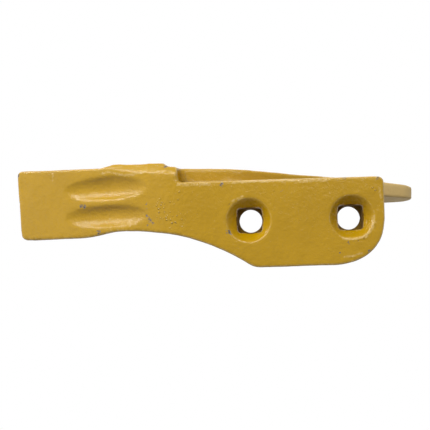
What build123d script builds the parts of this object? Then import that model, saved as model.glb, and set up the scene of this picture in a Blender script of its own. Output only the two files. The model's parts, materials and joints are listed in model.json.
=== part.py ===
from build123d import *
import math
import os

# Side tooth for the outer corner of a digging bucket: one steel casting, in millimetres.
# A strap with two countersunk bolt holes lies under the bucket's lip, a chisel nose
# reaches forward of it, and a swept wing runs up and back outside the side plate.
# X runs from the tip towards the heel of the strap, Y from the underside up through the
# seat, and Z from the inner edge to the outer side. The origin is on the seat, midway
# between the bolt holes. A reach is a distance from the origin along X, and a width is
# one along Z.

# Strap
strap_thickness = 22.0
strap_outer_width = 32.0
strap_inner_width = 38.0
heel_reach = 67.5
heel_inner_radius = 39.0
heel_outer_radius = 5.0
flare_reach = 38.0
flare_radius = 14.0

# Bolt holes, for countersunk bolts with a square neck
bolt_pitch = 82.0
head_diameter = 35.4
head_half_angle = 40.0
head_rim_radius = 0.8
neck_side = 20.0
neck_corner_radius = 2.0
neck_depth = 16.5
bolt_hole_diameter = 19.4

# Nose
shoulder_reach = 96.0
shoulder_height = 27.0
shoulder_fillet = 5.0
step_lean = 2.0
step_radius = 2.0
waist_reach = 140.0
waist_width = 5.4
blade_reach = 188.0
blade_inner_width = 10.4
tip_reach = 241.5
tip_skew = 2.5
tip_thickness = 9.0
tip_corner_radius = 4.5
nose_break_reach = 101.0
nose_rise_angle = 12.0
nose_break_radius = 120.0
nose_top_hollow = 2.0

# Outer side, one plane that the nose and the wing share, with a low pad on the nose
outer_width = 41.1
outer_toe_angle = 2.1
pad_start_reach = 164.0
pad_end_reach = 107.0
pad_height = 2.6
pad_ramp = 15.0
pad_radius = 12.0
bevel_start_reach = 170.0
bevel_full_reach = 115.0
bevel_width = 6.5
bevel_depth = 3.8

# Rounded edges of the nose and strap
edge_radius = 1.6

# Scallops along the underside of the nose
scallop_radius = 10.5
scallop_depth = 5.2
scallop_arc_radius = 150.0
scallop_reach = 160.0
scallop_pitch = 22.6
scallop_middle_width = 18.6
scallop_lip_radius = 3.0

# Wing
wing_thickness = 13.5
wing_start_depth = 9.0
wing_trail_angle = 27.0
wing_trail_blend = 60.0
wing_end_reach = 97.0
wing_end_height = 100.0
wing_end_radius = 30.0
wing_lead_angle = 36.0
wing_root_reach = 150.0
wing_root_height = 15.0
wing_edge_radius = 2.0
wing_corner_radius = 2.0
wing_foot_radius = 5.0


def outer_at(x):
    """Width of the outer side at a place along the part."""
    return outer_width - x * math.tan(math.radians(outer_toe_angle))


def underside_at(x):
    """Height of the underside at a place along the part, along its straight runs."""
    rise = (-nose_break_reach - x) * math.tan(math.radians(nose_rise_angle))
    return max(0.0, rise) - strap_thickness


def round_corner(face, x, y, radius):
    """Round the corner of a face that is nearest a place."""
    corner = face.vertices().sort_by_distance((x, y, 0))[0]
    return fillet(corner, radius)


def plan_face():
    """Outline square to the underside, with X across and Z upward on the page."""
    waist = (-waist_reach, -waist_width)
    flare = (-flare_reach, -strap_inner_width)
    blade = (-blade_reach, -blade_inner_width)
    turn = ((waist[0] + blade[0]) / 2, (waist[1] + blade[1]) / 2)
    tip_inner = (-tip_reach + tip_skew, -blade_inner_width)
    tip_outer = (-tip_reach, outer_at(-tip_reach))
    pad_front = -pad_start_reach + pad_ramp
    pad_back = -pad_end_reach - pad_height
    step_corner = -shoulder_reach - step_lean
    outline = Polyline(
        tip_inner,
        tip_outer,
        (-pad_start_reach, outer_at(-pad_start_reach)),
        (pad_front, outer_at(pad_front) + pad_height),
        (pad_back, outer_at(pad_back) + pad_height),
        (-pad_end_reach, outer_at(-pad_end_reach)),
        (step_corner, outer_at(step_corner)),
        (-shoulder_reach, strap_outer_width),
        (heel_reach, strap_outer_width),
        (heel_reach, -strap_inner_width),
        flare,
    )
    outline += TangentArc(waist, flare, tangent=(1, 0))
    outline += TangentArc(waist, turn, tangent=(-1, 0))
    outline += TangentArc(blade, turn, tangent=(1, 0))
    outline += Line(blade, tip_inner)
    face = make_face(outline)
    face = round_corner(face, heel_reach, -strap_inner_width, heel_inner_radius)
    face = round_corner(face, heel_reach, strap_outer_width, heel_outer_radius)
    face = round_corner(face, -flare_reach, -strap_inner_width, flare_radius)
    face = round_corner(face, -tip_reach, outer_at(-tip_reach), tip_corner_radius)
    face = round_corner(face, -tip_reach + tip_skew, -blade_inner_width, tip_corner_radius)
    face = round_corner(face, pad_front, outer_at(pad_front) + pad_height, pad_radius)
    face = round_corner(face, pad_back, outer_at(pad_back) + pad_height, step_radius)
    return round_corner(face, step_corner, outer_at(step_corner), step_radius)


def side_face():
    """Side profile of the nose and strap, with X across and Y upward on the page."""
    under = -strap_thickness
    tip_under = underside_at(-tip_reach)
    tip_top = tip_under + tip_thickness
    hollow_x = (-tip_reach - shoulder_reach) / 2
    hollow_y = (tip_top + shoulder_height) / 2 - nose_top_hollow
    shoulder_top = (-shoulder_reach, shoulder_height)
    outline = ThreePointArc((-tip_reach, tip_top), (hollow_x, hollow_y), shoulder_top)
    outline += Polyline(
        shoulder_top,
        (-shoulder_reach, 0),
        (heel_reach, 0),
        (heel_reach, under),
        (-nose_break_reach, under),
        (-tip_reach, tip_under),
        (-tip_reach, tip_top),
    )
    face = make_face(outline)
    face = round_corner(face, -nose_break_reach, under, nose_break_radius)
    return round_corner(face, -shoulder_reach, 0, shoulder_fillet)


def bevel_plane():
    """Plane of the bevel between the underside and the pad, facing out of the metal."""
    start = Vector(-bevel_start_reach, underside_at(-bevel_start_reach), outer_at(-bevel_start_reach))
    outer = Vector(-bevel_full_reach, underside_at(-bevel_full_reach), outer_at(-bevel_full_reach))
    inner = outer - Vector(0, 0, bevel_width)
    deeper = outer + Vector(0, bevel_depth, 0)
    normal = (inner - start).cross(deeper - start)
    if normal.Z < 0:
        normal = normal * -1
    return Plane(origin=start, x_dir=inner - start, z_dir=normal)


def blank():
    """Strap and nose in one: the plan outline cut to the side profile."""
    span = 2 * (strap_thickness + shoulder_height + tip_reach)
    plan = extrude(Plane.XZ * plan_face(), span, both=True)
    side = extrude(side_face(), span, both=True)
    return plan & side


def scallop(width):
    """Curved gouge along the nose, deepest at its middle."""
    tilt = math.radians(nose_rise_angle)
    inward = Vector(math.sin(tilt), math.cos(tilt), 0)
    middle = Vector(-scallop_reach, underside_at(-scallop_reach), width)
    centre = middle + inward * (scallop_depth - scallop_arc_radius)
    ring = Torus(scallop_arc_radius - scallop_radius, scallop_radius)
    return Pos(centre) * ring


def is_under(face):
    """Whether a face is part of the underside."""
    middle = face.center()
    return abs(middle.Y - underside_at(middle.X)) < edge_radius and face.normal_at().Y < -0.5


def rounded_blank():
    """The blank with its outline rounded on the underside and on top, and bevelled."""
    body = blank()
    under = [face for face in body.faces() if is_under(face)]
    shared = [edge for face in under for edge in face.edges()]
    body = fillet([edge for edge in shared if shared.count(edge) == 1], edge_radius)
    top = body.faces().sort_by(lambda face: face.center().Y)[-1]
    body = fillet(top.edges(), edge_radius)
    return split(body, bisect_by=bevel_plane(), keep=Keep.BOTTOM)


def scalloped(body):
    """Cut both scallops and round their lips."""
    for side in (-1, 1):
        body -= scallop(scallop_middle_width + side * scallop_pitch / 2)
    gouges = body.faces().filter_by(GeomType.TORUS).sort_by(SortBy.AREA)[-2:]
    return fillet(gouges.edges(), scallop_lip_radius)


def wing_face():
    """Side profile of the wing, drawn on the outer side with X across and Y upward."""
    trail = math.radians(wing_trail_angle)
    lead = math.radians(wing_lead_angle)
    centre = Vector(wing_end_reach, wing_end_height)
    trail_end = centre + Vector(math.sin(trail), -math.cos(trail)) * wing_end_radius
    lead_end = centre + Vector(-math.sin(lead), math.cos(lead)) * wing_end_radius
    mean = (trail + lead) / 2
    farthest = centre + Vector(math.cos(mean), math.sin(mean)) * wing_end_radius
    run = (trail_end.Y + wing_start_depth) / math.tan(trail)
    corner = Vector(trail_end.X - run, -wing_start_depth)
    start = Vector(-shoulder_reach - wing_thickness, -wing_start_depth)
    root = Vector(-wing_root_reach, wing_root_height)
    outline = Polyline(start, corner, trail_end)
    outline += ThreePointArc(trail_end, farthest, lead_end)
    outline += TangentArc(lead_end, root, tangent=(-math.cos(lead), -math.sin(lead)))
    outline += Line(root, start)
    face = make_face(outline)
    return round_corner(face, corner.X, corner.Y, wing_trail_blend)


def wing():
    """Swept wing flush with the outer side, its free edges rounded."""
    toe = math.radians(outer_toe_angle)
    across = Vector(math.sin(toe), 0, math.cos(toe))
    side = Plane(origin=(0, 0, outer_width), x_dir=(across.Z, 0, -across.X), z_dir=across)
    slab = extrude(side * wing_face(), -wing_thickness)
    free = [
        edge
        for edge in slab.edges()
        if abs(edge.tangent_at(0).dot(across)) < 0.5
        and edge.center().X > -shoulder_reach
    ]
    return fillet(free, wing_edge_radius)


def bolt_hole(x):
    """Countersink, square neck and round hole of one bolt."""
    under = -strap_thickness
    head_radius = head_diameter / 2
    head_depth = (head_radius - neck_side / 2) / math.tan(math.radians(head_half_angle))
    upward = Plane(origin=(x, under, 0), x_dir=(1, 0, 0), z_dir=(0, 1, 0))
    head = Cone(head_radius, neck_side / 2, head_depth, align=(Align.CENTER, Align.CENTER, Align.MIN))
    neck = extrude(RectangleRounded(neck_side, neck_side, neck_corner_radius), neck_depth)
    bore = extrude(Circle(bolt_hole_diameter / 2), 2 * strap_thickness)
    return upward * (head + neck + bore)


def joined(body):
    """Unite the wing with the nose and strap, with a radius where they meet."""
    body += wing()
    inner_width = outer_at(-shoulder_reach) - wing_thickness
    corners = [
        edge
        for edge in body.edges()
        if abs(edge.center().X + shoulder_reach) < 0.1
        and abs(edge.center().Z - inner_width) < 0.1
        and edge.length > shoulder_height / 2
    ]
    body = fillet(corners, wing_corner_radius)
    feet = [
        edge
        for edge in body.edges()
        if abs(edge.center().Y + wing_start_depth) < 0.1
        and abs(edge.center().X + shoulder_reach + step_lean / 2) < step_lean / 2
        and edge.center().Z > strap_outer_width
    ]
    return fillet(feet, wing_foot_radius)


def drilled(body):
    """Sink both bolt holes from the underside and ease the rims of their heads."""
    for side in (-1, 1):
        body -= bolt_hole(side * bolt_pitch / 2)
    circles = body.edges().filter_by(GeomType.CIRCLE)
    rims = [edge for edge in circles if abs(edge.radius - head_diameter / 2) < 0.01]
    return fillet(rims, head_rim_radius)


side_tooth = drilled(joined(scalloped(rounded_blank())))

os.makedirs("parts", exist_ok=True)
export_step(side_tooth, "parts/side_tooth.step")

box = side_tooth.bounding_box()
print("volume, cm3:", round(side_tooth.volume / 1000, 1))
print("lowest corner, mm:", [round(value, 2) for value in box.min])
print("highest corner, mm:", [round(value, 2) for value in box.max])
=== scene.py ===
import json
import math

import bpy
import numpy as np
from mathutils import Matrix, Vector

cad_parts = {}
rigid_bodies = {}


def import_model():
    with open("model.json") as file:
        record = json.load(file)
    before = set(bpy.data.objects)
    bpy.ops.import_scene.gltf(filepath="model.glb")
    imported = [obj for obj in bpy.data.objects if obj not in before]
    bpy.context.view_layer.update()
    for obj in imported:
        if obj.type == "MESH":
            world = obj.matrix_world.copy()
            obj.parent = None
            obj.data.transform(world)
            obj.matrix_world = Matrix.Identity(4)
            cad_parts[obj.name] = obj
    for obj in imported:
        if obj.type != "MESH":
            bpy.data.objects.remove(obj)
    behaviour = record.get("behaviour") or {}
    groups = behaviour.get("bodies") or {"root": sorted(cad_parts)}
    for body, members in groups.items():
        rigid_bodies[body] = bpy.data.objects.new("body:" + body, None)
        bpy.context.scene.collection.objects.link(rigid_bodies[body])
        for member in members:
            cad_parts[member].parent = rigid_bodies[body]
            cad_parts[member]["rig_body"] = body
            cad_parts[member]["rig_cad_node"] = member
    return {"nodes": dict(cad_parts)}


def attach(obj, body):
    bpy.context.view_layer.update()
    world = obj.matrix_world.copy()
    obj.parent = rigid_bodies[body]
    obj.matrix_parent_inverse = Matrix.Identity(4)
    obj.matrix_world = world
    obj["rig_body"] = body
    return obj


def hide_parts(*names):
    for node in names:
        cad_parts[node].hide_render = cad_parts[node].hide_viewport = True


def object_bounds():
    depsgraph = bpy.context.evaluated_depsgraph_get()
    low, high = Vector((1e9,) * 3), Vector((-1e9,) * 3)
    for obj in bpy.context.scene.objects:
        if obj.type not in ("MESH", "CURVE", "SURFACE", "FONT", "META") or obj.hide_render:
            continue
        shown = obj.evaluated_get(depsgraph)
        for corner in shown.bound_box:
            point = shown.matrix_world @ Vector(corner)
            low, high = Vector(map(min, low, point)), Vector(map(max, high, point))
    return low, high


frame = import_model()

# %% [markdown]
# A side bucket tooth is one steel casting. Molten steel is poured into a sand
# mould, the rough piece is cleaned with steel shot, and a thick yellow enamel
# goes on in one coat. It has no moving piece and no fastener of its own, so this
# scene is about one skin: how soft its edges are, where it is lumpy, and what
# the paint does over all that.
#
# The imported model is the fixed frame. Its box is kept here, before anything is made.

MM = 0.001
CAD_NODE = "side_tooth"
frame_low, frame_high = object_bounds()
print("frame box in mm:", [round(v / MM, 1) for v in (*frame_low, *frame_high)])

# %% [markdown]
# The photograph was taken square to the underside, from about 310 mm away. The
# bolt holes give the camera away: how far each square neck sits off the middle
# of its recess says where the lens was, and the pitch of the holes says how long
# the lens is. The picture is cut out of a wider one, so the lens looks at a
# point right of the middle and below it, and that is what the shift is for.

# %% Camera at the photograph's viewing angle
FRAME_WIDTH_PX = 430
FOCAL_PX = 386.1
OPTICAL_AXIS_PX = (287.5, 240.9)
SENSOR_MM = 36
CAMERA_PLACE = Vector((-10.78, -328.0, -17.5)) * MM
CAMERA_ROLL = math.radians(-1.8)

camera_data = bpy.data.cameras.new("photo_camera")
camera_data.sensor_width = SENSOR_MM
camera_data.lens = FOCAL_PX / FRAME_WIDTH_PX * SENSOR_MM
camera_data.shift_x = 0.5 - OPTICAL_AXIS_PX[0] / FRAME_WIDTH_PX
camera_data.shift_y = OPTICAL_AXIS_PX[1] / FRAME_WIDTH_PX - 0.5
camera_data.clip_start = 0.01
camera_data.clip_end = 20
camera = bpy.data.objects.new("photo_camera", camera_data)
bpy.context.scene.collection.objects.link(camera)
look_along_y = Matrix.Rotation(math.radians(90), 4, "X")
roll = Matrix.Rotation(CAMERA_ROLL, 4, "Z")
camera.matrix_world = Matrix.Translation(CAMERA_PLACE) @ look_along_y @ roll
bpy.context.scene.camera = camera
print("lens in mm:", round(camera_data.lens, 2), "shift:", round(camera_data.shift_x, 3))

# %% [markdown]
# Operators act on whatever is selected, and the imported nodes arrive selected.
# So every step starts from an empty selection with just its own piece in it.

# %% Selecting one piece
def select_only(piece):
    bpy.ops.object.select_all(action="DESELECT")
    piece.select_set(True)
    bpy.context.view_layer.objects.active = piece


# %% [markdown]
# The solids already have the right form, down to the countersinks and scallops.
# What they lack is the skin of a casting. It could be drawn in the material
# alone, but then the silhouette stays as crisp as machined steel. So the skin is
# a mesh of its own: a copy of the solid whose loose triangles are merged first.

# %% A copy of the solid
MERGE_GAP = 0.01 * MM

cad_object = frame["nodes"][CAD_NODE]
casting = cad_object.copy()
casting.data = cad_object.data.copy()
casting.name = casting.data.name = "painted_casting"
casting.parent = None
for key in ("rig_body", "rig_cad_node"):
    del casting[key]
bpy.context.scene.collection.objects.link(casting)
select_only(casting)
bpy.ops.object.mode_set(mode="EDIT")
bpy.ops.mesh.select_all(action="SELECT")
bpy.ops.mesh.remove_doubles(threshold=MERGE_GAP)
bpy.ops.object.mode_set(mode="OBJECT")
print("merged copy:", len(casting.data.vertices), "points")

# %% [markdown]
# Sand leaves no knife edge anywhere. A voxel remesh gives just that: an even
# skin of small squares, flat where the solid is flat, that rounds whatever was
# sharp by about half a voxel. A few passes of the Smooth modifier then take the
# edges down to the two or three millimetres that a worn mould and a thick coat
# leave. The even spacing also gives every later step points to move.

# %% An even skin
SKIN_VOXEL = 1.15 * MM
EDGE_PASSES = 5


def smooth(piece, name, passes, group=""):
    modifier = piece.modifiers.new(name, "SMOOTH")
    modifier.factor = 0.5
    modifier.iterations = passes
    modifier.vertex_group = group
    select_only(piece)
    bpy.ops.object.modifier_apply(modifier=name)


remesh = casting.modifiers.new("even_skin", "REMESH")
remesh.mode = "VOXEL"
remesh.voxel_size = SKIN_VOXEL
remesh.use_smooth_shade = True
bpy.ops.object.modifier_apply(modifier=remesh.name)
smooth(casting, "worn_edges", EDGE_PASSES)
print("even skin:", len(casting.data.polygons), "squares")

# %% [markdown]
# Seen against the photograph, the solid's nose is three millimetres short and
# its outer side is one or two millimetres narrow. The skin is moved by that much
# here. Each row of a table pairs a reach with a move, and the moves of the two
# sides fade to nothing across the width. The inner wall of the nose also leans
# outward as it rises, which is the draft that lets a pattern leave the sand. The
# heel's round corner is pushed out from the bolt hole beside it. Last, the
# scallops are filled up by an eighth, and their lips are smoothed once more.

# %% The last millimetres of the outline
BOLT_PITCH_MM = 82
INNER_MOVES_MM = [(-242, 1), (-228, 0), (-152, 0), (-136, -0.8), (-116, -0.8), (-100, 0)]
INNER_FADE_MM = (-6, 4)
OUTER_MOVES_MM = [
    (-242, 0.5), (-172, 0.5), (-162, 0.8), (-153, 1.6), (-143, 0.9), (-129, 0.7),
    (-122, 1.4), (-108, 1.3), (-103, 0.7), (0, 0.8), (72, 2), (125, 0.3)]
OUTER_FADE_MM = (33, 38)
TIP_MOVES_MM = [(-242, -3.2), (-196, 0)]
HEEL_ARC_MOVE_MM = 1.2
HEEL_ARC_REACH_MM = (20, 26)
HEEL_ARC_ANGLES = (-95, -58, -42, -12)
STRAP_TOP_MM = 1
DRAFT = math.tan(math.radians(8))
NOSE_RISE_MM = [(-242, 30), (-101, 0)]
DRAFT_SHARE = [(-236, 0), (-200, 1), (-130, 1), (-100, 0)]
DRAFT_FADE_MM = (-4, 22)
SCALLOP_X_MM = (-222, -212, -116, -108)
SCALLOP_Z_MM = (-4.5, -2.5, 39.5, 40.5)
DEEPEST_SCALLOP_MM = 6.5
SCALLOP_FILL = 0.12
SCALLOP_PASSES = 2

points = np.empty(len(casting.data.vertices) * 3, np.float32)
casting.data.vertices.foreach_get("co", points)
points = points.reshape(-1, 3)


def table(rows, values):
    return np.interp(values, *zip(*rows))


def between(values, limits):
    """1 between the two middle limits, falling to 0 at the outer ones."""
    return np.interp(values, limits, (0, 1, 1, 0))


x_mm, y_mm, z_mm = (points[:, axis] / MM for axis in range(3))
rise_mm = np.clip(y_mm - frame_low.y / MM - table(NOSE_RISE_MM, x_mm), 0, None)
move = table(INNER_MOVES_MM, x_mm) * np.interp(z_mm, INNER_FADE_MM, (1, 0))
move += table(OUTER_MOVES_MM, x_mm) * np.interp(z_mm, OUTER_FADE_MM, (0, 1))
move += table(DRAFT_SHARE, x_mm) * DRAFT * rise_mm * np.interp(z_mm, DRAFT_FADE_MM, (1, 0))
points[:, 2] += move * MM
points[:, 0] += table(TIP_MOVES_MM, x_mm) * MM

past_hole_mm = x_mm - BOLT_PITCH_MM / 2
away_mm = np.hypot(past_hole_mm, z_mm)
push = np.interp(away_mm, HEEL_ARC_REACH_MM, (0, 1)) * (y_mm < STRAP_TOP_MM)
push *= between(np.degrees(np.arctan2(z_mm, past_hole_mm)), HEEL_ARC_ANGLES)
push *= HEEL_ARC_MOVE_MM / away_mm * MM
points[:, 0] += push * past_hole_mm
points[:, 2] += push * z_mm

scallops = between(x_mm, SCALLOP_X_MM) * between(z_mm, SCALLOP_Z_MM)
scallops *= rise_mm < DEEPEST_SCALLOP_MM
points[:, 1] -= scallops * SCALLOP_FILL * rise_mm * MM
casting.data.vertices.foreach_set("co", points.reshape(-1))
casting.data.update()


def mark_group(name, weights):
    group = casting.vertex_groups.new(name=name)
    for index in np.nonzero(weights > 0)[0]:
        group.add([int(index)], float(weights[index]), "REPLACE")


mark_group("scallops", scallops)
smooth(casting, "soft_scallops", SCALLOP_PASSES, group="scallops")

# %% [markdown]
# The mould's face is packed by hand, so no flat of a casting is truly flat.
# Swells about as wide as a thumb and a fifth of a millimetre high are enough to
# make a long reflection wander. A Displace modifier with a cloud texture makes
# them. A second, finer one gives the pebbled feel of sand under thick paint.

# %% Waves of the sand mould
def displace(piece, name, width, height, group=""):
    texture = bpy.data.textures.new(name, "CLOUDS")
    texture.noise_scale = width
    texture.noise_depth = 2
    modifier = piece.modifiers.new(name, "DISPLACE")
    modifier.texture = texture
    modifier.texture_coords = "LOCAL"
    modifier.strength = height
    modifier.mid_level = 0.5
    modifier.vertex_group = group
    select_only(piece)
    bpy.ops.object.modifier_apply(modifier=name)
    bpy.data.textures.remove(texture)


displace(casting, "mould_waves", width=19 * MM, height=0.45 * MM)
displace(casting, "sand_pebbles", width=4.5 * MM, height=0.22 * MM)

# %% [markdown]
# Two places are rougher than the rest: the rim of the heel's countersink is
# lumpy on its lower side, where sand broke away before the pour, and a short
# burr lies beside the other rim. Uneven lines also run along some edges, and the
# material paints them pale as a highlight. A vertex group marks all of these, and
# the same kind of modifier raises them.

# %% Rough rims
BOLT_PITCH = BOLT_PITCH_MM * MM
RIM_RADIUS = 17.7 * MM
RIM_DEPTH = 2 * MM
RIM_FADE_ANGLE = 12
UNDERSIDE_Y = frame_low.y
STREAK_WIDTH = 1.2 * MM
STREAK_CORE = 1.4
STREAK_LUMP_SHARE = 0.4
STREAK_DEPTH_MM = 4
# Along these lines the skin is raised, and the material paints them pale as a highlight; the mark
# across the tip is a real scuff.
SCUFF_AND_HIGHLIGHT_LINES_MM = {
    "outer bevel": [(-162, 43), (-157, 44), (-143, 40.5), (-135, 40), (-124, 42)],
    "pad, inner end": [(-120, 41), (-106, 41.5), (-100, 39.5)],
    "strap edge, nose end": [(-97, 30), (-94, 29), (-68, 29)],
    "strap edge": [(-53, 29.5), (-33, 30.5), (-6, 30.5), (3, 29), (10, 29.5), (19, 29), (23, 30.5)],
    "heel edge": [(63.5, 22), (64, 14.5)],
    "heel countersink": [(58, 0), (57.5, -9.5), (52, -15.5), (45, -17), (33, -17)],
    "burr": [(-53, 15.5), (-45.5, 19)],
    "heel, inner edge": [(34, -31.5), (40.5, -31), (48.5, -29)],
    "mark across the tip": [(-209, 46), (-209, 40)],
}


def beside(line, width):
    """1 on a line of places on the underside, falling to 0 a little beside it."""
    nearest = np.full(len(points), np.inf)
    for start, end in zip(line, line[1:]):
        start, end = np.array(start) * MM, np.array(end) * MM
        run = points[:, [0, 2]] - start
        share = np.clip(run @ (end - start) / ((end - start) ** 2).sum(), 0, 1)
        off = run - share[:, None] * (end - start)
        nearest = np.minimum(nearest, np.hypot(off[:, 0], off[:, 1]))
    return np.clip(STREAK_CORE - nearest / width, 0, 1)


def rim_weight(bolt_x, radius, spread, first_angle, last_angle):
    """How much each point belongs to an arc round a bolt hole, from 0 to 1."""
    across = points[:, 0] - bolt_x
    along = np.hypot(across, points[:, 2])
    angle = np.degrees(np.arctan2(points[:, 2], across))
    ring = np.clip(1 - abs(along - radius) / spread, 0, 1)
    middle = (first_angle + last_angle) / 2
    reach = (last_angle - first_angle) / 2
    arc = np.clip((reach - abs(angle - middle)) / RIM_FADE_ANGLE, 0, 1)
    outside = points[:, 1] < UNDERSIDE_Y + RIM_DEPTH
    return ring * arc * outside


casting.data.vertices.foreach_get("co", points.reshape(-1))
broken_rim = rim_weight(
    BOLT_PITCH / 2, radius=RIM_RADIUS + 1.5 * MM, spread=2.2 * MM, first_angle=-95, last_angle=-5)
burr = rim_weight(
    -BOLT_PITCH / 2, radius=RIM_RADIUS + 2.9 * MM, spread=1.3 * MM, first_angle=120, last_angle=158)
scuff_and_highlight_lines = np.max([beside(line, STREAK_WIDTH) for line in SCUFF_AND_HIGHLIGHT_LINES_MM.values()], axis=0)
scuff_and_highlight_lines *= rise_mm < STREAK_DEPTH_MM
rough_share = np.max([broken_rim, burr, STREAK_LUMP_SHARE * scuff_and_highlight_lines], axis=0)
mark_group("rough_rims", rough_share)
displace(casting, "rim_lumps", width=2.6 * MM, height=1.6 * MM, group="rough_rims")
print("points on rough rims:", int((rough_share > 0).sum()))

# %% [markdown]
# Paint wears first where the metal is convex, and the skin is in shade where it
# is hollow. The skin says where that is: at a point on an edge, all neighbours lie
# below the plane of its normal. This is stored on the mesh, and the material
# turns it into thinner pale enamel with a painted highlight on the edges, and
# painted shade in the hollows and bolt necks. Where the photograph shows a chip or a
# sprinkle of sand grains, its place and radius are listed in millimetres; the
# pale tops of the grains are partly a painted glint. The wing behind the heel
# gets a painted pale sheen, and its enamel is quite dull.

# %% Where paint wears, and where highlight, sheen and shade are painted
CHIPS_MM = {
    "between the scallops": (-182.5, 17, 1.4),
    "between the scallops, end": (-180, 16.5, 1.6),
    "nose edge": (-167, -5, 1.6),
    "nose root, upper": (-123.5, 16, 0.8),
    "nose root, middle": (-123.5, 12, 0.7),
    "nose root, knock": (-123.5, 6.5, 1.1),
    "nose root, knock middle": (-122, 4, 1.3),
    "nose root, knock slant": (-120.5, 2, 1.5),
    "nose root, knock foot": (-118.5, 0, 1.2),
    "nose root, lower": (-123.5, -1, 1.2),
    "strap, nose end": (-89, 7.5, 1),
    "first rim": (-58, -8.5, 1.6),
    "first rim, foot": (-56.5, -10.5, 1.1),
    "strap edge": (-61.5, 28.5, 1.5),
    "beside the first hole": (-14, 22.5, 0.9),
    "below the second hole": (37.5, -20.5, 1.2),
    "strap, low": (30.5, -28.5, 1),
    "strap edge, far": (36, 30.5, 0.9),
    "heel corner": (62.5, 30, 1.2),
    "heel arc": (53.5, -27, 0.9),
    "tip, outer corner": (-243.5, 46.5, 1.6),
    "tip, inner corner": (-243.5, -5.5, 1.8),
    "pad, end": (-107.5, 46, 1.5),
}
GRAINS_MM = [(-108, 11, 7), (-100, 2, 6), (-96, 21, 3), (-104, 6, 5), (60, 21, 4), (-24, 22, 3)]
MARK_CORE = 1.6
MARK_DEPTH_MM = 5
FACING_DOWN = 0.2
WING_SHEEN_START, WING_SHEEN_FULL, WING_SHEEN_LOWEST = 35 * MM, 72 * MM, 12 * MM
EDGE_BEND = 0.16
NECK_START, NECK_END = 8 * MM, 0.5 * MM
NECK_REACH, BORE_REACH = 15 * MM, 10.4 * MM
COUNTERSINK_FOOT = 6 * MM

mesh = casting.data
mesh.vertices.foreach_get("co", points.reshape(-1))
normals = np.empty(len(mesh.vertices) * 3, np.float32)
mesh.vertex_normals.foreach_get("vector", normals)
normals = normals.reshape(-1, 3)
edges = np.empty(len(mesh.edges) * 2, np.int32)
mesh.edges.foreach_get("vertices", edges)
edges = edges.reshape(-1, 2)
bend = np.zeros(len(points))
count = np.zeros(len(points))
for here, there in ((edges[:, 0], edges[:, 1]), (edges[:, 1], edges[:, 0])):
    step = points[here] - points[there]
    drop = (step * normals[here]).sum(axis=1) / (step ** 2).sum(axis=1)
    np.add.at(bend, here, drop)
    np.add.at(count, here, 1)
bend = bend / count * MM
print("bend per mm, most convex and most hollow:", round(bend.max(), 2), round(bend.min(), 2))

underneath = normals[:, 1] < FACING_DOWN
depth = points[:, 1] - UNDERSIDE_Y
off_axis = np.hypot(abs(points[:, 0]) - BOLT_PITCH / 2, points[:, 2])


def around(x, z, radius):
    """1 at a place on the underside, falling to 0 at MARK_CORE times its radius."""
    away = np.hypot(points[:, 0] - x * MM, points[:, 2] - z * MM) / (radius * MM)
    return np.clip(MARK_CORE - away, 0, 1) * underneath * (rise_mm < MARK_DEPTH_MM)


def inside_neck():
    """True past the countersink of either bolt hole, where painted shade goes."""
    near_neck = (off_axis < NECK_REACH) & (points[:, 1] < -NECK_END)
    return (depth > NECK_START) & ((off_axis < BORE_REACH) | near_neck)


def beside_neck():
    """True from the foot of either countersink on, where edges get neither the pale paint nor the
    painted highlight.
    """
    return (off_axis < NECK_REACH) & (depth > COUNTERSINK_FOOT) & (points[:, 1] < -NECK_END)


def store(name, values):
    layer = mesh.attributes.new(name, "FLOAT", "POINT")
    layer.data.foreach_set("value", values.astype(np.float32))


# Convex edges get thinner pale enamel with a painted highlight.
store("edge", np.clip(bend / EDGE_BEND, 0, 1) * ~beside_neck())
# The hollow mark becomes painted shade in the material: darker creases and bolt necks.
store("hollow", np.maximum(np.clip(-bend / EDGE_BEND, 0, 1), inside_neck()))
store("chips", np.max([around(*chip) for chip in CHIPS_MM.values()], axis=0))
# Stuck grains get pale tops: thinner enamel, and partly a painted glint.
store("grains", np.max([around(*patch) for patch in GRAINS_MM], axis=0))
# These lines are painted pale in the material: a painted highlight, and at the tip a scuff.
store("scuff_and_highlight_lines", scuff_and_highlight_lines * underneath)
# The wing behind the heel is painted pale: a painted sheen.
above_seat = points[:, 1] > WING_SHEEN_LOWEST
store("wing_sheen", np.interp(points[:, 0], (WING_SHEEN_START, WING_SHEEN_FULL), (0, 1)) * above_seat)

# %% [markdown]
# Colours are written as sRGB hex, as a paint chart gives them, and one function
# turns them into the linear values that a shader mixes. Another adds a node with
# its settings and inputs, by name or by number, so that a material reads from
# top to bottom.

# %% Colours and nodes
def linear(hex_colour):
    channels = [int(hex_colour[i:i + 2], 16) / 255 for i in (1, 3, 5)]
    turned = [c / 12.92 if c <= 0.04045 else ((c + 0.055) / 1.055) ** 2.4 for c in channels]
    return (*turned, 1.0)


def add_node(tree, kind, settings=None, inputs=None):
    node = tree.nodes.new(kind)
    for name, value in (settings or {}).items():
        setattr(node, name, value)
    for name, value in (inputs or {}).items():
        if isinstance(value, bpy.types.NodeSocket):
            tree.links.new(value, node.inputs[name])
        else:
            node.inputs[name].default_value = value
    return node


# %% [markdown]
# The finish is an alkyd enamel, the cheap tough paint of earth-moving parts. It
# is a dielectric, and it dries to a half gloss. The eye reads it by five things:
# an ochre that drifts a little over the piece, a reflection broken up by sand
# grain, thinner pale paint along the edges with a painted highlight, small chips
# down to primer and steel, and a painted pale sheen on the wing. Painted shade
# darkens the creases and the bolt necks.

# %% Yellow enamel over cast steel
ENAMEL = linear("#BD9202")
ENAMEL_DEEP = linear("#B28901")
# The pale colour below is thinner enamel with a painted highlight on edges, grains and lines.
THIN_ENAMEL_AND_HIGHLIGHT = linear("#D8B76E")
# The pale colour below is a painted sheen on the wing.
WING_SHEEN_COLOUR = linear("#D3B473")
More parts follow.
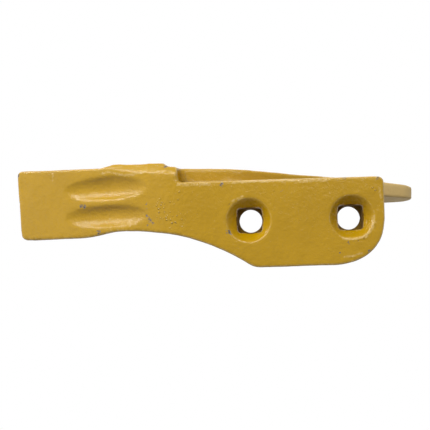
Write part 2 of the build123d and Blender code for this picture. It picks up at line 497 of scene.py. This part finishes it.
# The dark brown below is painted shade for creases and the bolt necks.
PAINTED_SHADE = linear("#4A3204")
PRIMER = linear("#6E7078")
BARE_STEEL = linear("#44423F")
DRIFT_WIDTH = 38 * MM
GRIT_WIDTH, GRIT_HEIGHT = 2.6 * MM, 0.7 * MM
PEEL_WIDTH, PEEL_HEIGHT = 1.1 * MM, 0.2 * MM
CHIP_WIDTH, CHIP_DEPTH = 1.6 * MM, 0.2 * MM
GRAIN_SPACING, GRAIN_HEIGHT = 2.9 * MM, 0.8 * MM
GRAIN_FOOT, GRAIN_TOP = 0.34, 0.1
GRAIN_GLINT, STREAK_PALENESS = 1.3, 0.75
EDGE_KNOCKS = 0.42
GLOSSIEST, DULLEST = 0.17, 0.25
WING_DULLS, SHADE_DULLS = 0.4, 0.8
SHEEN = 0.35


def per_metre(width):
    return 1 / width


def yellow_enamel():
    material = bpy.data.materials.new("yellow_enamel_on_cast_steel")
    material.use_nodes = True
    tree = material.node_tree
    shader = tree.nodes["Principled BSDF"]
    place = add_node(tree, "ShaderNodeTexCoord").outputs["Object"]
    marks = {}
    for name in ("edge", "hollow", "chips", "grains", "scuff_and_highlight_lines", "wing_sheen"):
        node = add_node(tree, "ShaderNodeAttribute", {"attribute_name": name})
        marks[name] = node.outputs["Fac"]
    noise = {}
    widths = {"drift": DRIFT_WIDTH, "grit": GRIT_WIDTH, "peel": PEEL_WIDTH, "ragged": CHIP_WIDTH}
    for name, width in widths.items():
        node = add_node(tree, "ShaderNodeTexNoise", inputs={
            "Vector": place, "Scale": per_metre(width), "Detail": 4.0, "Roughness": 0.6})
        noise[name] = node.outputs["Fac"]

    # Ochre that drifts, darkened by painted shade in creases and bolt necks
    drift = add_node(tree, "ShaderNodeMapRange", inputs={
        "Value": noise["drift"], "From Min": 0.35, "From Max": 0.7})
    ochre = add_node(tree, "ShaderNodeMix", {"data_type": "RGBA"}, {
        0: drift.outputs["Result"], 6: ENAMEL, 7: ENAMEL_DEEP})
    shade_share = add_node(tree, "ShaderNodeMapRange", inputs={
        "Value": marks["hollow"], "From Min": 0.2, "To Max": 0.8})
    shaded = add_node(tree, "ShaderNodeMix", {"data_type": "RGBA"}, {
        0: shade_share.outputs["Result"], 6: ochre.outputs[2], 7: PAINTED_SHADE})

    # Thinner pale paint with a painted highlight: on stuck grains, on edges and along the listed
    # lines
    cells = add_node(tree, "ShaderNodeTexVoronoi", inputs={
        "Vector": place, "Scale": per_metre(GRAIN_SPACING)})
    dome = add_node(tree, "ShaderNodeMapRange", {"interpolation_type": "SMOOTHSTEP"}, {
        "Value": cells.outputs["Distance"], "From Min": GRAIN_FOOT, "From Max": GRAIN_TOP})
    stuck = add_node(tree, "ShaderNodeMath", {"operation": "MULTIPLY"}, {
        0: dome.outputs["Result"], 1: marks["grains"]})
    grains_and_edges = add_node(tree, "ShaderNodeMath", {"operation": "MULTIPLY_ADD"}, {
        0: stuck.outputs[0], 1: GRAIN_GLINT, 2: marks["edge"]})
    pale_places = add_node(tree, "ShaderNodeMath", {"operation": "MULTIPLY_ADD"}, {
        0: marks["scuff_and_highlight_lines"], 1: STREAK_PALENESS, 2: grains_and_edges.outputs[0]})
    broken_pale_places = add_node(tree, "ShaderNodeMath", {"operation": "MULTIPLY"}, {
        0: pale_places.outputs[0], 1: noise["grit"]})
    pale_share = add_node(tree, "ShaderNodeMapRange", inputs={
        "Value": broken_pale_places.outputs[0], "From Min": 0.22, "From Max": 0.62, "To Max": 0.75})
    pale = add_node(tree, "ShaderNodeMix", {"data_type": "RGBA"}, {
        0: pale_share.outputs["Result"], 6: shaded.outputs[2], 7: THIN_ENAMEL_AND_HIGHLIGHT})
    # Painted pale sheen on the wing
    sheened = add_node(tree, "ShaderNodeMix", {"data_type": "RGBA"}, {
        0: marks["wing_sheen"], 6: pale.outputs[2], 7: WING_SHEEN_COLOUR})

    # Chips: the listed places and the sharpest edges, torn by a fine noise
    torn_up = add_node(tree, "ShaderNodeMapRange", inputs={
        "Value": noise["ragged"], "From Min": 0.38, "From Max": 0.6})
    knocked = add_node(tree, "ShaderNodeMath", {"operation": "MULTIPLY_ADD"}, {
        0: marks["edge"], 1: EDGE_KNOCKS, 2: marks["chips"]})
    worn = add_node(tree, "ShaderNodeMath", {"operation": "MULTIPLY"}, {
        0: knocked.outputs[0], 1: torn_up.outputs["Result"]})
    rim = add_node(tree, "ShaderNodeMapRange", inputs={
        "Value": worn.outputs[0], "From Min": 0.3, "From Max": 0.45, "To Max": 0.6})
    torn = add_node(tree, "ShaderNodeMix", {"data_type": "RGBA"}, {
        0: rim.outputs["Result"], 6: sheened.outputs[2], 7: PRIMER})
    chip = add_node(tree, "ShaderNodeMapRange", inputs={
        "Value": worn.outputs[0], "From Min": 0.5, "From Max": 0.75, "To Max": 0.85})
    finish = add_node(tree, "ShaderNodeMix", {"data_type": "RGBA"}, {
        0: chip.outputs["Result"], 6: torn.outputs[2], 7: BARE_STEEL})
    tree.links.new(finish.outputs[2], shader.inputs["Base Color"])

    # Half gloss, duller on the wing with its painted sheen and where the painted shade lies
    gloss = add_node(tree, "ShaderNodeMapRange", inputs={
        "Value": noise["drift"], "From Min": 0.3, "From Max": 0.7,
        "To Min": GLOSSIEST, "To Max": DULLEST})
    dull = add_node(tree, "ShaderNodeMath", {"operation": "MULTIPLY_ADD"}, {
        0: marks["wing_sheen"], 1: WING_DULLS, 2: gloss.outputs["Result"]})
    matt = add_node(tree, "ShaderNodeMath", {"operation": "MULTIPLY_ADD", "use_clamp": True}, {
        0: shade_share.outputs["Result"], 1: SHADE_DULLS, 2: dull.outputs[0]})
    tree.links.new(matt.outputs[0], shader.inputs["Roughness"])
    shader.inputs["Specular IOR Level"].default_value = SHEEN

    # Sand grain, orange peel, stuck grains and the step down into a chip
    grit = add_node(tree, "ShaderNodeBump", inputs={
        "Height": noise["grit"], "Strength": 0.8, "Distance": GRIT_HEIGHT})
    peel = add_node(tree, "ShaderNodeBump", inputs={
        "Height": noise["peel"], "Strength": 0.5, "Distance": PEEL_HEIGHT,
        "Normal": grit.outputs["Normal"]})
    grains = add_node(tree, "ShaderNodeBump", inputs={
        "Height": stuck.outputs[0], "Strength": 1.0, "Distance": GRAIN_HEIGHT,
        "Normal": peel.outputs["Normal"]})
    step = add_node(tree, "ShaderNodeBump", {"invert": True}, inputs={
        "Height": chip.outputs["Result"], "Strength": 0.8, "Distance": CHIP_DEPTH,
        "Normal": grains.outputs["Normal"]})
    tree.links.new(step.outputs["Normal"], shader.inputs["Normal"])
    return material


casting.data.materials.clear()
casting.data.materials.append(yellow_enamel())

# %% [markdown]
# The part is held by its bolts, so it hangs clear of the floor. The floor is a
# wide pale sheet. Near the part it takes light and shadow like paper, and
# further out it fades into the white of the backdrop, so that no horizon shows.
# Paper that bright would light the part from below, which the photograph
# doesn't show, so what isn't seen directly is a darker sheet.

# %% Pale floor
FLOOR_DROP = 450 * MM
FLOOR_SIZE = 14
FADE_START, FADE_END = 0.3, 0.62
WHITE = (1, 1, 1, 1)
PAPER = linear("#FCFCFC")
PAPER_FOR_BOUNCES = linear("#8A8A8A")

bpy.ops.object.select_all(action="DESELECT")
bpy.ops.mesh.primitive_plane_add(size=FLOOR_SIZE, location=(0, 0, frame_low.z - FLOOR_DROP))
floor = bpy.context.object
floor.name = "studio_floor"


def seen_directly(tree):
    """1 for what the camera sees, also in a mirror or through glass."""
    path = add_node(tree, "ShaderNodeLightPath")
    total = path.outputs["Is Camera Ray"]
    for name in ("Is Glossy Ray", "Is Transmission Ray"):
        either = add_node(tree, "ShaderNodeMath", {"operation": "MAXIMUM"}, {
            0: total, 1: path.outputs[name]})
        total = either.outputs[0]
    return total


def pale_floor():
    material = bpy.data.materials.new("pale_paper_floor")
    material.use_nodes = True
    tree = material.node_tree
    shader = tree.nodes["Principled BSDF"]
    seen = seen_directly(tree)
    sheet = add_node(tree, "ShaderNodeMix", {"data_type": "RGBA"}, {
        0: seen, 6: PAPER_FOR_BOUNCES, 7: PAPER})
    tree.links.new(sheet.outputs[2], shader.inputs["Base Color"])
    shader.inputs["Roughness"].default_value = 0.9
    shader.inputs["Specular IOR Level"].default_value = 0.1
    place = add_node(tree, "ShaderNodeTexCoord").outputs["Object"]
    away = add_node(tree, "ShaderNodeVectorMath", {"operation": "LENGTH"}, {"Vector": place})
    far = add_node(tree, "ShaderNodeMapRange", inputs={
        "Value": away.outputs["Value"], "From Min": FADE_START, "From Max": FADE_END})
    fade = add_node(tree, "ShaderNodeMath", {"operation": "MULTIPLY"}, {
        0: far.outputs["Result"], 1: seen})
    glow = add_node(tree, "ShaderNodeEmission", inputs={"Color": WHITE, "Strength": 1.0})
    both = add_node(tree, "ShaderNodeMixShader", inputs={
        0: fade.outputs[0], 1: shader.outputs[0], 2: glow.outputs[0]})
    tree.links.new(both.outputs[0], tree.nodes["Material Output"].inputs["Surface"])
    return material


floor.data.materials.append(pale_floor())

# %% [markdown]
# The light is that of a product table: dim white all round, one long strip box
# above the camera, and a broad soft one on the tip's side. Where the strip
# stands is read from the scallops. Their walls mirror it as thin closed loops,
# and that takes a lamp about 43 degrees above the line of sight. The broad one
# is read from the countersinks, whose heel sides are lighter than their tip
# sides. A weak third lamp behind the part lights its top for other views.

# %% White surroundings
ROOM_LIGHT = 0.46

world = bpy.data.worlds.new("white_studio")
bpy.context.scene.world = world
world.use_nodes = True
tree = world.node_tree
room = tree.nodes["Background"]
room.inputs["Color"].default_value = WHITE
room.inputs["Strength"].default_value = ROOM_LIGHT
backdrop = add_node(tree, "ShaderNodeBackground", inputs={"Color": WHITE, "Strength": 1.0})
chosen = add_node(tree, "ShaderNodeMixShader", inputs={
    0: seen_directly(tree), 1: room.outputs[0], 2: backdrop.outputs[0]})
tree.links.new(chosen.outputs[0], tree.nodes["World Output"].inputs["Surface"])

# %% Lamps
LAMP_AIM = Vector((-60, 0, 0)) * MM


def soft_lamp(name, azimuth, elevation, distance, size, watts):
    """An area lamp aimed at the part. Azimuth 0 is the camera's side, 90 the heel's."""
    data = bpy.data.lights.new(name, "AREA")
    data.shape = "RECTANGLE"
    data.size, data.size_y = size
    data.energy = watts
    lamp = bpy.data.objects.new(name, data)
    bpy.context.scene.collection.objects.link(lamp)
    turn, lift = math.radians(azimuth), math.radians(elevation)
    level = math.cos(lift)
    away = Vector((math.sin(turn) * level, -math.cos(turn) * level, math.sin(lift)))
    lamp.location = LAMP_AIM + away * distance
    lamp.rotation_euler = away.to_track_quat("Z", "Y").to_euler()


soft_lamp("strip_box", azimuth=-30, elevation=43, distance=1.1, size=(2.2, 0.07), watts=15.8)
soft_lamp("side_box", azimuth=-58, elevation=12, distance=1.5, size=(1.3, 1.3), watts=2.2)
soft_lamp("back_box", azimuth=180, elevation=50, distance=1.4, size=(1.2, 0.8), watts=4)

# %% [markdown]
# Last, the skin rides on the part's one body, and the CAD node it was copied from is hidden.

# %% Hand-over to the frame
bpy.context.scene.view_settings.view_transform = "Standard"
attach(casting, "root")
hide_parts(CAD_NODE)
